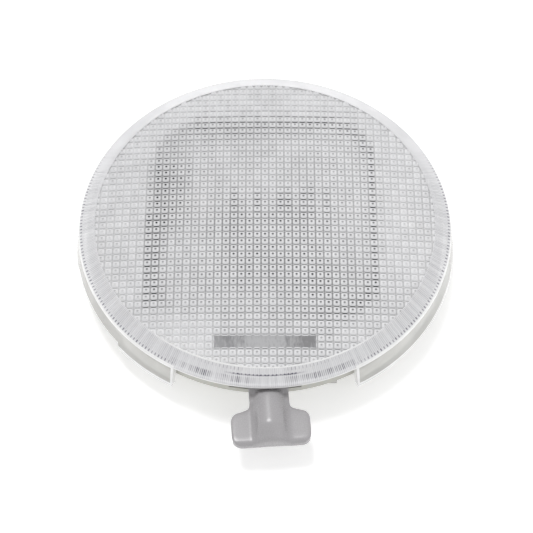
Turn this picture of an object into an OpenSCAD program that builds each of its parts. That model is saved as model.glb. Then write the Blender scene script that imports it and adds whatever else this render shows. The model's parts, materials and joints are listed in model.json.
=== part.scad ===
// Round interior roof lamp for a car: a clear prismatic lens clipped over a moulded
// housing, with a tubular bulb, sheet-brass contacts and a swinging T-handled switch lever.
// Millimetres. The origin is on the lamp's axis, on the flat back of the housing's well.
// +Z points out through the lens, and -Y points out along the switch lever.

/* [Lens] */
// Radius of the lens at its rim line
rim_r = 55; // [53:0.5:60]
// Width of the sloping band between the face and the rim
bevel_w = 4.7; // [3:0.1:5.4]
// Rise of the face's edge above the rim line
bevel_h = 2.6; // [1.8:0.1:4]
// Rise of the domed face above its own edge
dome_h = 2.4; // [1:0.1:5]
// Wall of the lens
lens_t = 2; // [1.4:0.1:2.4]
// Drop of the skirt below the rim line
skirt_h = 9.4; // [8.6:0.1:11]
// Widening of the skirt between the rim line and its lower edge
skirt_flare = 0.5; // [0:0.1:1.2]
// Half angle of the notch in the skirt that the lever swings in
notch_angle = 28; // [26:0.5:34]
// Height of the band that is left above the notch
rim_band_h = 0.7; // [0.4:0.1:0.9]
// Angle from the lever to the near end of the prising recess
pry_start_angle = 49; // [44:1:60]
// Angle that the prising recess takes up
pry_sweep = 31; // [15:1:40]
// Height of the prising recess
pry_h = 2.7; // [1:0.1:4]
// Width of each snap catch inside the skirt
catch_w = 8; // [4:0.5:12]
// Height of each snap catch
catch_h = 1; // [0.6:0.1:1.4]
// Gap between a snap catch and the housing's wall
catch_gap = 0.3; // [0.2:0.05:0.6]

/* [Housing] */
// Gap between the lens skirt and the housing's wall
skirt_gap = 1; // [0.6:0.1:1.6]
// Thickness of the round wall
wall_t = 1.8; // [1.2:0.1:2.4]
// Thickness of the round plate
plate_t = 1.8; // [1.2:0.1:2.4]
// Height of the lens's rim line above the back of the plate
rim_rise = 7.5; // [7.1:0.1:9]
// Drop of the lens's seat below the rim line
seat_drop = 1; // [0.9:0.05:1.2]
// Depth of the well behind the plate
well_depth = 9.3; // [8.5:0.1:14]
// Width of the well
well_w = 68; // [64:0.5:70]
// Length of the well
well_l = 72; // [68:0.5:74]
// Distance from the lamp's axis back to the middle of the well
well_y = 4; // [3:0.25:5]
// Corner radius of the well
well_corner_r = 8; // [6:0.5:12]
// Wall and floor of the well
well_t = 1.6; // [1.2:0.1:2]
// Thickness of the stiffening ribs behind the plate
rib_t = 1.4; // [0.8:0.1:2]
// Height of the stiffening ribs
rib_h = 1.5; // [0.8:0.1:2]
// Distance between the two mounting screw holes
screw_spacing = 84; // [82:0.5:87]
// Radius of a mounting screw hole
screw_r = 2.1; // [1.6:0.1:2.6]

/* [Reflector] */
// Distance from the lamp's axis sideways to the middle of bulb and reflector
lamp_x = 3.5; // [0:0.25:4]
// Distance from the lamp's axis back to the bulb
lamp_y = 15; // [13:0.25:16]
// Width of the reflector
reflector_w = 49; // [44:0.5:50]
// Thickness of the reflector's sheet
reflector_t = 0.6; // [0.4:0.05:0.9]
// Length of the flat floor under the bulb
trough_l = 24; // [18:0.5:26]
// Length of each sloping side of the trough
slope_l = 10; // [6:0.5:11]
// Gap between the reflector and the well
reflector_gap = 0.5; // [0.3:0.05:0.9]
// Height of the reflector's apron above its floor
apron_rise = 6.9; // [4:0.1:7.4]

/* [Bulb] */
// Length of the bulb over its caps
bulb_l = 31; // [28:0.5:36]
// Radius of the glass
glass_r = 5; // [4:0.1:5.5]
// Wall of the glass
glass_t = 0.6; // [0.4:0.05:0.9]
// Radius of the end caps
cap_r = 4.3; // [3.6:0.1:4.6]
// Length of each end cap
cap_l = 5.8; // [5:0.1:7]
// Length of the cone on each cap
cone_l = 3.5; // [2.5:0.1:4]
// Radius of a cap's tip
tip_r = 1.3; // [0.8:0.1:1.8]

/* [Contacts] */
// Thickness of the contact sheet
sheet_t = 0.4; // [0.3:0.05:0.5]
// Width of the bulb clips
clip_w = 8; // [7:0.25:10]
// Height of a clip's top above the bulb's axis
clip_rise = 4.6; // [3.6:0.1:5]
// Width of the contact strips on the plate
strip_w = 3.4; // [2.4:0.1:3.8]
// Width of a blade terminal
blade_w = 6.3; // [4.8:0.1:6.3]
// Thickness of a blade terminal
blade_t = 0.8; // [0.5:0.05:1]
// Length of a blade behind the plate
blade_l = 6.5; // [5:0.1:8]
// Radius of a rivet's shank
rivet_r = 1.2; // [0.9:0.05:1.5]
// Radius of a rivet's head
rivet_head_r = 2.1; // [1.8:0.05:2.4]
// Height of a rivet's head
rivet_head_h = 0.7; // [0.4:0.05:1]

/* [Switch lever] */
// Distance from the lamp's axis to the lever's pivot
pivot_r = 38; // [37.5:0.25:39]
// Angle of the lever as it stands
lever_angle = 3.7; // [-10:0.1:10]
// Angle that the lever swings to each side of its middle
lever_swing = 15; // [10:0.5:16]
// Width of the lever's stem
stem_w = 11.2; // [9:0.1:12]
// Thickness of the stem beside its rib
stem_t = 1.6; // [1.2:0.1:1.8]
// Width of the raised rib
lever_rib_w = 7.9; // [5:0.1:8.5]
// Height of the rib above the stem
lever_rib_h = 1.5; // [0.8:0.1:1.6]
// Radius of the lever's hub
hub_r = 6.4; // [5:0.1:7]
// Radius of the pivot pin
pin_r = 2.5; // [1.8:0.1:3]
// Running clearance round the pin
pin_gap = 0.05; // [0.02:0.01:0.09]
// Distance from the pivot to the finger pad
pad_start = 19.6; // [18.8:0.1:22]
// Length of the finger pad along the lever
pad_l = 11.2; // [9:0.1:14]
// Width of the finger pad
pad_w = 22; // [18:0.25:26]
// Height of the pad's front from top to lower edge
pad_h = 5; // [3.5:0.1:5.4]
// Thickness of the pad's shell
pad_t = 2; // [1.4:0.1:2.4]
// Corner radius of the pad seen from above
pad_corner_r = 2.8; // [1.5:0.1:4]
// Radius of the pad's front top edge
pad_edge_r = 1.8; // [1:0.1:2]
// Set-back of the pad's outer shoulders
shoulder_drop = 1; // [0:0.1:2]

/* [Hidden] */

$fn = 96;
// Overrun of every cut past the face that it opens
cut = 1;
// Slack between fixed pieces that fit together
fit_gap = 0.05;
// Gap between flat faces of pieces that move past each other
slide_gap = 0.1;

// Heights of the housing and the lens
plate_z = well_depth;
plate_top = plate_z + plate_t;
rim_z = plate_z + rim_rise;
seat_z = rim_z - seat_drop;
face_z = rim_z + bevel_h;
apex_z = face_z + dome_h;
skirt_z = rim_z - skirt_h;

// Radii of the lens and the housing
face_r = rim_r - bevel_w;
dome_r = (face_r * face_r + dome_h * dome_h) / (2 * dome_h);
skirt_inner_r = rim_r - lens_t;
base_r = skirt_inner_r - skirt_gap;
base_inner_r = base_r - wall_t;
ledge_r = base_inner_r - skirt_gap;

// Two catches stand beside the notch and two behind, by angle from the lever's direction
front_catch_angle = (notch_angle + pry_start_angle) / 2;
rear_catch_angle = 118;
catch_angles = [-rear_catch_angle, -front_catch_angle, front_catch_angle, rear_catch_angle];
catch_r = base_r + catch_gap;

// Inside of the well
well_in_w = well_w - 2 * well_t;
well_in_l = well_l - 2 * well_t;
well_in_corner_r = well_corner_r - well_t;
well_in_front = well_y - well_in_l / 2;
well_in_back = well_y + well_in_l / 2;
rib_count = 12;

// The bulb lies across the lamp, in its clips
axis_z = well_t + sheet_t + glass_r + clip_rise / 2;
cup_l = cap_l - cone_l;
neck_r = cap_r - glass_t / 2 - fit_gap;
glass_half_l = bulb_l / 2 - cap_l + cup_l * 0.7;
shoulder_l = glass_r - neck_r;
clip_share = 0.55;
clip_x = bulb_l / 2 - cone_l * (1 - clip_share);
clip_hole_r = cap_r - (cap_r - tip_r) * clip_share + fit_gap;
boss_w = clip_w + 2 * fit_gap;
boss_l = 2 * rivet_head_r + 2 * rivet_r;
boss_top = well_t + 2 * reflector_t + 2 * reflector_gap;
filament_share = 0.45;

// Flat sheets on the plate
ring_gap = 0.3;
strip_mid_r = base_inner_r - strip_w / 2 - 2 * ring_gap;
pad_reach = hub_r + strip_w / 2 - pin_gap;
feed_x = -(well_w / 2 + 2 * rivet_head_r + blade_t);
door_angle = 22;
door_r = pivot_r + pad_reach;
strip_angle = 45;

// Heights of the switch
wiper_z = plate_top + sheet_t + slide_gap;
lever_z = wiper_z + sheet_t;
stem_top = lever_z + stem_t;
rib_top = stem_top + lever_rib_h;
washer_z = rib_top + slide_gap;
washer_t = sheet_t;
washer_r = pin_r + hub_r / 4;
pin_head_r = washer_r + fit_gap;
pin_head_z = washer_z + 2 * washer_t + 2 * slide_gap;
pin_head_h = rivet_head_h;
pin_foot_r = pin_r + sheet_t * 3;
slot_half_w = stem_w / 2 / cos(lever_swing) + (base_r - pivot_r) * tan(lever_swing) + ring_gap * 2;

// Bright colours stand for the finishes
clear_colour = [0.93, 0.94, 0.95, 0.35];
base_colour = [0.75, 0.745, 0.71];
lever_colour = [0.67, 0.66, 0.675];
brass_colour = [0.78, 0.62, 0.32];
steel_colour = [0.72, 0.73, 0.74];
white_colour = [0.93, 0.93, 0.91];
glass_colour = [0.95, 0.95, 0.93, 0.35];

// A point at an angle from the lever's direction, seen from the front
function polar(r, a) = [r * sin(a), -r * cos(a)];

// Unit direction from one point of a path to the next
function heading(p, i) = (p[i + 1] - p[i]) / norm(p[i + 1] - p[i]);

// Offset of a path's point to its left, mitred at the bends
function left_point(p, i, t) =
    let (
        a = heading(p, max(0, i - 1)),
        b = heading(p, min(len(p) - 2, i)),
        m = [-a[1] - b[1], a[0] + b[0]]
    )
    p[i] + m * 2 * t / (m * m);

// Outline of a bent sheet of thickness t, on the left of its path
module bent_sheet(path, t) {
    last = len(path) - 1;
    polygon(concat(path, [for (i = [last:-1:0]) left_point(path, i, t)]));
}

// A rectangle with round corners, centred
module round_rect(w, l, r) {
    square([w - 2 * r, l], center = true);
    square([w, l - 2 * r], center = true);
    for (x = [-1, 1], y = [-1, 1])
        translate([x * (w / 2 - r), y * (l / 2 - r)]) circle(r);
}

// A pie slice of radius r between two angles from the lever's direction
module slice(r, a0, a1) {
    steps = 6;
    polygon(concat([[0, 0]], [for (i = [0:steps]) polar(r, a0 + (a1 - a0) * i / steps)]));
}

// A flat ring segment
module ring_part(r, w, a0, a1) {
    intersection() {
        difference() {
            circle(r + w / 2);
            circle(r - w / 2);
        }
        slice(2 * r, a0, a1);
    }
}

// A straight flat strip with round ends between two points
module bar(p, q, w) {
    length = norm(q - p);
    translate(p) circle(w / 2);
    translate(q) circle(w / 2);
    translate(p) rotate(atan2(q[1] - p[1], q[0] - p[0]))
        translate([0, -w / 2]) square([length, w]);
}

// The lens's outer form
module lens_outside() {
    intersection() {
        translate([0, 0, apex_z - dome_r]) sphere(dome_r, $fn = 360);
        translate([0, 0, rim_z]) cylinder(r = face_r, h = apex_z);
    }
    translate([0, 0, rim_z]) cylinder(r1 = rim_r, r2 = face_r, h = bevel_h);
    translate([0, 0, skirt_z]) cylinder(r1 = rim_r + skirt_flare, r2 = rim_r, h = skirt_h);
}

// The room inside the lens, with a ledge that sits on the housing's wall
module lens_inside() {
    intersection() {
        translate([0, 0, apex_z - dome_r]) sphere(dome_r - lens_t, $fn = 360);
        translate([0, 0, skirt_z]) cylinder(r = ledge_r, h = apex_z);
    }
    translate([0, 0, skirt_z - cut])
        cylinder(r = skirt_inner_r, h = seat_z - skirt_z + cut);
}

module lens() {
    color(clear_colour) {
        difference() {
            lens_outside();
            lens_inside();
            translate([0, 0, skirt_z - cut])
                linear_extrude(skirt_h + cut - rim_band_h)
                slice(2 * rim_r, -notch_angle, notch_angle);
            translate([0, 0, skirt_z - cut])
                linear_extrude(pry_h + cut)
                slice(2 * rim_r, -pry_start_angle - pry_sweep, -pry_start_angle);
        }
        for (a = catch_angles) lens_catch(a);
    }
}

// A snap catch on the inside of the skirt, below the housing's plate
module lens_catch(a) {
    half_angle = atan(catch_w / 2 / catch_r);
    translate([0, 0, plate_z - slide_gap - catch_h]) linear_extrude(catch_h) intersection() {
        difference() {
            circle(skirt_inner_r + lens_t / 2);
            circle(catch_r);
        }
        slice(2 * rim_r, a - half_angle, a + half_angle);
    }
}

module housing() {
    color(base_colour) difference() {
        union() {
            translate([0, 0, plate_z]) cylinder(r = base_r, h = seat_z - slide_gap - plate_z);
            translate([0, well_y, 0]) linear_extrude(plate_top)
                round_rect(well_w, well_l, well_corner_r);
            housing_ribs();
        }
        translate([0, 0, plate_top]) cylinder(r = base_inner_r, h = rim_rise);
        translate([0, well_y, well_t]) linear_extrude(rim_z)
            round_rect(well_in_w, well_in_l, well_in_corner_r);
        // Slot that the lever swings in
        translate([-slot_half_w, -base_r - cut, plate_top])
            cube([2 * slot_half_w, wall_t * 2 + cut, rim_rise]);
        for (x = [-1, 1])
            translate([x * screw_spacing / 2, well_y, plate_z - rib_h - cut])
                cylinder(r = screw_r, h = plate_t + rib_h + 2 * cut);
        translate([0, -pivot_r, plate_z - cut])
            cylinder(r = pin_r + fit_gap, h = plate_t + 2 * cut);
        // Slots that the blades pass through
        translate([feed_x - fit_gap, lamp_y - blade_w / 2 - fit_gap, plate_z - rib_h - cut])
            cube([blade_t + 2 * fit_gap, blade_w + 2 * fit_gap, plate_t + rib_h + 2 * cut]);
        translate([door_x - blade_w / 2 - fit_gap, door_y - fit_gap, plate_z - rib_h - cut])
            cube([blade_w + 2 * fit_gap, blade_t + 2 * fit_gap, plate_t + rib_h + 2 * cut]);
        for (p = plate_rivets)
            translate([p[0], p[1], plate_z - cut]) cylinder(r = rivet_r + fit_gap, h = plate_t + 2 * cut);
    }
    color(base_colour) for (x = [-1, 1]) clip_boss(x);
}

// Radial ribs behind the plate, between the well and the wall
module housing_ribs() {
    intersection() {
        translate([0, 0, plate_z - rib_h]) linear_extrude(rib_h + plate_t / 2) difference() {
            circle(base_r - wall_t);
            translate([0, well_y]) square([well_w, well_l] - [well_t, well_t], center = true);
        }
        for (i = [0:rib_count - 1])
            rotate((i + 0.5) * 360 / rib_count)
                translate([0, -rib_t / 2, 0]) cube([rim_r, rib_t, rim_z]);
    }
}

// Boss that carries a bulb clip, with the hole for its rivet
module clip_boss(side) {
    translate([lamp_x + side * (clip_x + boss_l / 2), lamp_y, 0]) difference() {
        translate([-boss_l / 2, -boss_w / 2, well_t / 2])
            cube([boss_l, boss_w, boss_top - well_t / 2]);
        translate([0, 0, well_t]) cylinder(r = rivet_r + fit_gap, h = boss_top);
    }
}

// Sheet reflector: a flat apron, a trough under the bulb and a rear lip
module reflector() {
    floor_z = well_t + fit_gap;
    top_z = floor_z + apron_rise;
    front = well_in_front + reflector_gap;
    back = well_in_back - reflector_gap;
    half = trough_l / 2;
    path = [
        [front, top_z],
        [lamp_y - half - slope_l, top_z],
        [lamp_y - half, floor_z],
        [lamp_y + half, floor_z],
        [min(lamp_y + half + slope_l, back), top_z]
    ];
    color(white_colour) difference() {
        translate([lamp_x - reflector_w / 2, 0, 0])
            rotate([90, 0, 90]) linear_extrude(reflector_w) bent_sheet(path, reflector_t);
        for (side = [-1, 1])
            translate([lamp_x + side * (clip_x + boss_l / 2), lamp_y, floor_z])
                cube([boss_l + 2 * reflector_gap, boss_w + 2 * reflector_gap, 4 * reflector_t],
                     center = true);
    }
}

// Hollow glass with a narrow neck at each end
module bulb_glass() {
    color(glass_colour) translate([lamp_x, lamp_y, axis_z]) rotate([0, 90, 0]) difference() {
        union() {
            cylinder(r = neck_r, h = 2 * glass_half_l, center = true);
            cylinder(r = glass_r, h = 2 * (bulb_l / 2 - cap_l - shoulder_l - fit_gap), center = true);
            for (side = [-1, 1])
                translate([0, 0, side * (bulb_l / 2 - cap_l - shoulder_l - fit_gap + shoulder_l / 2)])
                    cylinder(
                        r1 = side < 0 ? neck_r : glass_r,
                        r2 = side < 0 ? glass_r : neck_r,
                        h = shoulder_l, center = true
                    );
        }
        cylinder(r = neck_r - glass_t, h = 2 * (glass_half_l - glass_t), center = true);
        cylinder(r = glass_r - glass_t, h = 2 * (bulb_l / 2 - cap_l - 2 * shoulder_l), center = true);
        cylinder(r = sheet_t, h = bulb_l, center = true);
    }
}

// End cap: a cup over the neck, closed by a cone
module bulb_cap(side) {
    color(steel_colour) translate([lamp_x, lamp_y, axis_z]) rotate([0, side * 90, 0])
        translate([0, 0, bulb_l / 2 - cap_l]) difference() {
            union() {
                cylinder(r = cap_r, h = cup_l);
                translate([0, 0, cup_l]) cylinder(r1 = cap_r, r2 = tip_r, h = cone_l);
            }
            translate([0, 0, -cut]) cylinder(r = neck_r + fit_gap, h = cup_l * 0.7 + cut + fit_gap);
        }
}
module bulb_cap_left() { bulb_cap(-1); }
module bulb_cap_right() { bulb_cap(1); }

// Wound filament on its two lead wires
module bulb_filament() {
    coil_half = bulb_l / 2 * filament_share;
    coil_r = sheet_t;
    turns = 24;
    pitch = 2 * coil_half / turns;
    color(steel_colour) translate([lamp_x, lamp_y, axis_z]) rotate([0, 90, 0]) {
        cylinder(r = sheet_t - fit_gap * 2, h = 2 * glass_half_l, center = true, $fn = 24);
        rotate_extrude($fn = 24) polygon(concat(
            [[0, -coil_half]],
            [for (i = [0:2 * turns]) [coil_r + (i % 2) * coil_r / 2, -coil_half + i * pitch / 2]],
            [[0, coil_half]]
        ));
    }
}

// Folded sheet clip: an upright with a hole for the bulb's cone, a foot on its boss, a run
// to the side of the well, and an end that lies over the plate
module contact_clip(side, end_z) {
    run_end = well_in_w / 2 - side * lamp_x - fit_gap;
    plate_end = well_w / 2 - side * lamp_x + 2 * rivet_head_r;
    path = [
        [clip_x, axis_z + clip_rise],
        [clip_x, boss_top],
        [run_end, boss_top],
        [run_end, end_z],
        [plate_end, end_z]
    ];
    color(brass_colour) translate([lamp_x, lamp_y, 0]) mirror([side < 0 ? 1 : 0, 0, 0]) difference() {
        translate([0, clip_w / 2, 0]) rotate([90, 0, 0]) linear_extrude(clip_w) bent_sheet(path, sheet_t);
        translate([clip_x - cut, 0, axis_z]) rotate([0, 90, 0])
            cylinder(r = clip_hole_r, h = sheet_t + 3 * cut);
        translate([clip_x + boss_l / 2, 0, boss_top - cut])
            cylinder(r = rivet_r + fit_gap, h = sheet_t + 2 * cut);
        translate([well_w / 2 - side * lamp_x + rivet_head_r, 0, end_z - cut])
            cylinder(r = rivet_r + fit_gap, h = sheet_t + 2 * cut);
    }
}
module contact_clip_left() { contact_clip(-1, plate_top + blade_t); }
module contact_clip_right() { contact_clip(1, plate_top + sheet_t); }

// Places of the rivets that go through the plate
clip_rivet_x = well_w / 2 + rivet_head_r;
door_x = door_r * sin(door_angle);
door_y = -door_r * cos(door_angle) - strip_w / 2 - blade_t;
ground_hold = polar(strip_mid_r, -strip_angle);
plate_rivets = [
    [-clip_rivet_x, lamp_y], [clip_rivet_x, lamp_y],
    ground_hold, [door_x, -door_r * cos(door_angle)]
];

// Strip from the right clip round the well to the lever's pivot
module common_strip() {
    knee = polar(strip_mid_r, strip_angle);
    color(brass_colour) translate([0, 0, plate_top]) linear_extrude(sheet_t) difference() {
        union() {
            ring_part(strip_mid_r, strip_w, strip_angle, 90);
            translate(knee) circle(strip_w / 2);
            bar([clip_rivet_x, lamp_y], [strip_mid_r, 0], strip_w);
            translate([clip_rivet_x, lamp_y]) circle(rivet_head_r);
            bar(knee, [0, -pivot_r], strip_w);
            translate([0, -pivot_r]) circle(pin_r + strip_w / 2);
        }
        translate([0, -pivot_r]) circle(pin_r + fit_gap);
        translate([clip_rivet_x, lamp_y]) circle(rivet_r + fit_gap);
    }
}

// Strip from the switch to the left mounting screw, which earths the lamp
module ground_contact() {
    start = [0, -pivot_r] + polar(pad_reach, -lever_swing);
    knee = polar(strip_mid_r, -strip_angle);
    color(brass_colour) translate([0, 0, plate_top]) linear_extrude(sheet_t) difference() {
        union() {
            bar(start + [-strip_w / 2, 0], knee, strip_w);
            ring_part(strip_mid_r, strip_w, -90, -strip_angle);
            bar([-strip_mid_r, 0], [-screw_spacing / 2, well_y], strip_w);
            translate([-screw_spacing / 2, well_y]) circle(screw_r + strip_w / 2);
        }
        translate([-screw_spacing / 2, well_y]) circle(screw_r + 2 * ring_gap);
        translate(ground_hold) circle(rivet_r + fit_gap);
    }
}

// Pad on the other side of the switch, with the door switch's lead
module door_contact() {
    start = [0, -pivot_r] + polar(pad_reach, lever_swing);
    end = [door_x, -door_r * cos(door_angle)];
    color(brass_colour) translate([0, 0, plate_top]) linear_extrude(sheet_t) difference() {
        bar(start + [strip_w / 2, 0], end, strip_w);
        translate(end) circle(rivet_r + fit_gap);
        // Room for the blade that passes down beside the strip
        translate([door_x - blade_w / 2 - ring_gap, door_y - ring_gap])
            square([blade_w + 2 * ring_gap, blade_t + ring_gap + fit_gap]);
    }
}

// Blade terminal under the left clip's end
module feed_terminal() {
    color(steel_colour) difference() {
        union() {
            translate([feed_x, lamp_y - blade_w / 2, plate_z - blade_l])
                cube([blade_t, blade_w, blade_l + plate_t + blade_t]);
            translate([feed_x, lamp_y - blade_w / 2, plate_top])
                cube([-well_w / 2 - feed_x, blade_w, blade_t]);
        }
        translate([-clip_rivet_x, lamp_y, plate_top - cut])
            cylinder(r = rivet_r + fit_gap, h = blade_t + 2 * cut);
    }
}

// Blade terminal on top of the door contact's end
module door_terminal() {
    tab_l = strip_w + blade_t;
    color(steel_colour) difference() {
        union() {
            translate([door_x - blade_w / 2, door_y, plate_z - blade_l])
                cube([blade_w, blade_t, blade_l + plate_t + sheet_t + blade_t]);
            translate([door_x - blade_w / 2, door_y, plate_top + sheet_t])
                cube([blade_w, tab_l, blade_t]);
        }
        translate([door_x, -door_r * cos(door_angle), plate_top + sheet_t - cut])
            cylinder(r = rivet_r + fit_gap, h = blade_t + 2 * cut);
    }
}

// One rivet with its head at height z and a shank of length l below it
module rivet(p, z, l) {
    translate([p[0], p[1], z]) {
        cylinder(r1 = rivet_head_r, r2 = rivet_head_r * 0.7, h = rivet_head_h);
        translate([0, 0, -l]) cylinder(r = rivet_r, h = l + rivet_head_h / 2);
    }
}

module rivets() {
    heights = [
        plate_top + blade_t + sheet_t, plate_top + 2 * sheet_t,
        plate_top + sheet_t, plate_top + sheet_t + blade_t
    ];
    color(steel_colour) {
        for (i = [0:len(plate_rivets) - 1])
            rivet(plate_rivets[i], heights[i], heights[i] - plate_z);
        for (side = [-1, 1])
            rivet([lamp_x + side * (clip_x + boss_l / 2), lamp_y], boss_top + sheet_t,
                  boss_top + sheet_t - well_t - fit_gap);
    }
}

// Places a piece on the pivot, turned with the lever
module on_lever() {
    translate([0, -pivot_r, 0]) rotate(lever_angle) children();
}

// The finger pad seen from above: sloping shoulders and round corners
module pad_outline() {
    half = pad_w / 2;
    r = pad_corner_r;
    front = -pad_start - pad_l;
    union() {
        polygon([
            [-stem_w / 2, -pad_start], [stem_w / 2, -pad_start],
            [half - r, -pad_start - shoulder_drop], [half, -pad_start - shoulder_drop - r],
            [half, front + r], [half - r, front],
            [r - half, front], [-half, front + r],
            [-half, -pad_start - shoulder_drop - r], [r - half, -pad_start - shoulder_drop]
        ]);
        for (x = [-1, 1], y = [front + r, -pad_start - shoulder_drop - r])
            translate([x * (half - r), y]) circle(r);
    }
}

// Side view of the pad's shell: a flat top, a round front edge and a lip that turns down
module pad_profile() {
    front = -pad_start - pad_l;
    low = stem_top - pad_h;
    difference() {
        union() {
            translate([front + pad_edge_r, low]) square([pad_l, pad_h]);
            translate([front, low]) square([pad_edge_r, pad_h - pad_edge_r]);
            translate([front + pad_edge_r, stem_top - pad_edge_r]) circle(pad_edge_r);
        }
        translate([front + pad_t, low - cut]) square([pad_l, pad_h - pad_t + cut]);
    }
}

// Side view of the raised rib: an arched start, a flat crest and a fall to the front edge
module rib_profile() {
    front = -pad_start - pad_l;
    start = -pad_start + stem_w * 0.4;
    crest = front + pad_l * 0.42;
    polygon([
        [start, stem_top - stem_t / 2], [start, stem_top],
        [start - lever_rib_h, rib_top],
        [crest, rib_top],
        [front + pad_l * 0.2, stem_top + lever_rib_h * 0.3],
        [front, stem_top - pad_h * 0.4],
        [front, stem_top - pad_h], [front + pad_t, stem_top - pad_h],
        [front + pad_t, stem_top - pad_t], [start - lever_rib_h, stem_top - stem_t / 2]
    ]);
}

// The rib seen from the front, with round top corners
module rib_section() {
    r = lever_rib_h;
    translate([-lever_rib_w / 2, 0]) square([lever_rib_w, rib_top - r]);
    translate([-lever_rib_w / 2 + r, 0]) square([lever_rib_w - 2 * r, rib_top]);
    for (x = [-1, 1]) translate([x * (lever_rib_w / 2 - r), rib_top - r]) circle(r);
}

module switch_lever() {
    color(lever_colour) on_lever() difference() {
        union() {
            translate([0, 0, lever_z]) cylinder(r = hub_r, h = rib_top - lever_z);
            translate([-stem_w / 2, -pad_start - shoulder_drop, lever_z])
                cube([stem_w, pad_start + shoulder_drop, stem_t]);
            translate([-lever_rib_w / 2, -pad_start + stem_w * 0.7, lever_z])
                cube([lever_rib_w, pad_start - stem_w * 0.7, rib_top - lever_z]);
            intersection() {
                translate([0, 0, stem_top - pad_h]) linear_extrude(pad_h) pad_outline();
                translate([-pad_w, 0, 0]) rotate([90, 0, 90]) linear_extrude(2 * pad_w) pad_profile();
            }
            intersection() {
                translate([-pad_w, 0, 0]) rotate([90, 0, 90]) linear_extrude(2 * pad_w) rib_profile();
                rotate([90, 0, 0]) linear_extrude(pad_start + pad_l + cut) rib_section();
            }
        }
        translate([0, 0, lever_z - cut]) cylinder(r = pin_r + pin_gap, h = rib_top - lever_z + 2 * cut);
    }
}

// Brass wiper under the lever, which bridges the common strip to one contact or the other
module wiper_contact() {
    tip = polar(pad_reach, 0);
    color(brass_colour) on_lever() translate([0, 0, wiper_z]) linear_extrude(sheet_t) difference() {
        union() {
            circle(pin_r + strip_w / 2);
            bar([0, 0], tip, strip_w * 0.8);
        }
        circle(pin_r + pin_gap);
    }
}

// Shouldered pin: a round head, the shank that the lever turns on and a closed foot
module lever_pin() {
    color(steel_colour) translate([0, -pivot_r, 0]) {
        translate([0, 0, plate_z - rivet_head_h]) cylinder(r = pin_foot_r, h = rivet_head_h);
        translate([0, 0, plate_z - rivet_head_h / 2])
            cylinder(r = pin_r, h = pin_head_z - plate_z + rivet_head_h);
        translate([0, 0, pin_head_z])
            cylinder(r1 = pin_head_r, r2 = pin_head_r * 0.75, h = pin_head_h);
    }
}

// Dished spring washer that keeps the lever where it is put
module spring_washer() {
    color(steel_colour) translate([0, -pivot_r, washer_z]) rotate_extrude() polygon([
        [pin_r + fit_gap, slide_gap], [washer_r, 0],
        [washer_r, washer_t - slide_gap], [pin_r + fit_gap, washer_t]
    ]);
}

module pivot_washer() {
    color(steel_colour) translate([0, -pivot_r, washer_z + washer_t + slide_gap])
        difference() {
            cylinder(r = washer_r, h = washer_t);
            translate([0, 0, -cut]) cylinder(r = pin_r + fit_gap, h = washer_t + 2 * cut);
        }
}

housing();
lens();
reflector();
bulb_glass();
bulb_cap_left();
bulb_cap_right();
bulb_filament();
contact_clip_left();
contact_clip_right();
common_strip();
ground_contact();
door_contact();
feed_terminal();
door_terminal();
rivets();
switch_lever();
wiper_contact();
lever_pin();
spring_washer();
pivot_washer();
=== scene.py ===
"""Round interior roof lamp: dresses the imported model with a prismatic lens, a soft-edged
lever and procedural finishes, and sets up the studio."""
import json
import logging
import math
from dataclasses import dataclass, field
from enum import Enum, IntEnum
from typing import Callable, Iterable

import bmesh
import bpy
from mathutils import Matrix, Vector


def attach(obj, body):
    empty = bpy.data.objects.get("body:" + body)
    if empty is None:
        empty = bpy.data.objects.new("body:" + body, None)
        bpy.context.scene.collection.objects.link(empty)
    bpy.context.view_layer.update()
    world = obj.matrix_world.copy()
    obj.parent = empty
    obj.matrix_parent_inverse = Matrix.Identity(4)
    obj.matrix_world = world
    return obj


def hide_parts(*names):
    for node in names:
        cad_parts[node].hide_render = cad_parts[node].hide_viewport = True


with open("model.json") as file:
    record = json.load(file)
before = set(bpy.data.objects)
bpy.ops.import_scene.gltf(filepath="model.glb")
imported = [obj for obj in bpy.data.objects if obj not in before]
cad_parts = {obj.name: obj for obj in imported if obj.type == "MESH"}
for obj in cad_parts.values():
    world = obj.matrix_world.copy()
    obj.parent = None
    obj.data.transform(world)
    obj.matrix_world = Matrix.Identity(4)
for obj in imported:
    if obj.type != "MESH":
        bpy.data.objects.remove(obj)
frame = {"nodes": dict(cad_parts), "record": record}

logging.basicConfig(level=logging.INFO, format="%(message)s")
log = logging.getLogger("roof_lamp")

MM = 0.001
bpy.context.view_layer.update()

Colour = tuple[float, float, float]


class LensZone(IntEnum):
    """Parts of the lens that catch the light in different ways; the number is the slot."""

    FACET = 0
    TIP = 1
    GROOVE = 2
    FLUTE = 3
    # Near-white painted highlight where the edges of the clear plastic catch the light.
    CREASE = 4
    CLEAR = 5
    INNER = 6
    WINDOW = 7


class Body(Enum):
    """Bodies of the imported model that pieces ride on."""

    BASE = "base"
    COVER = "cover"
    LEVER = "lever"


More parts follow.
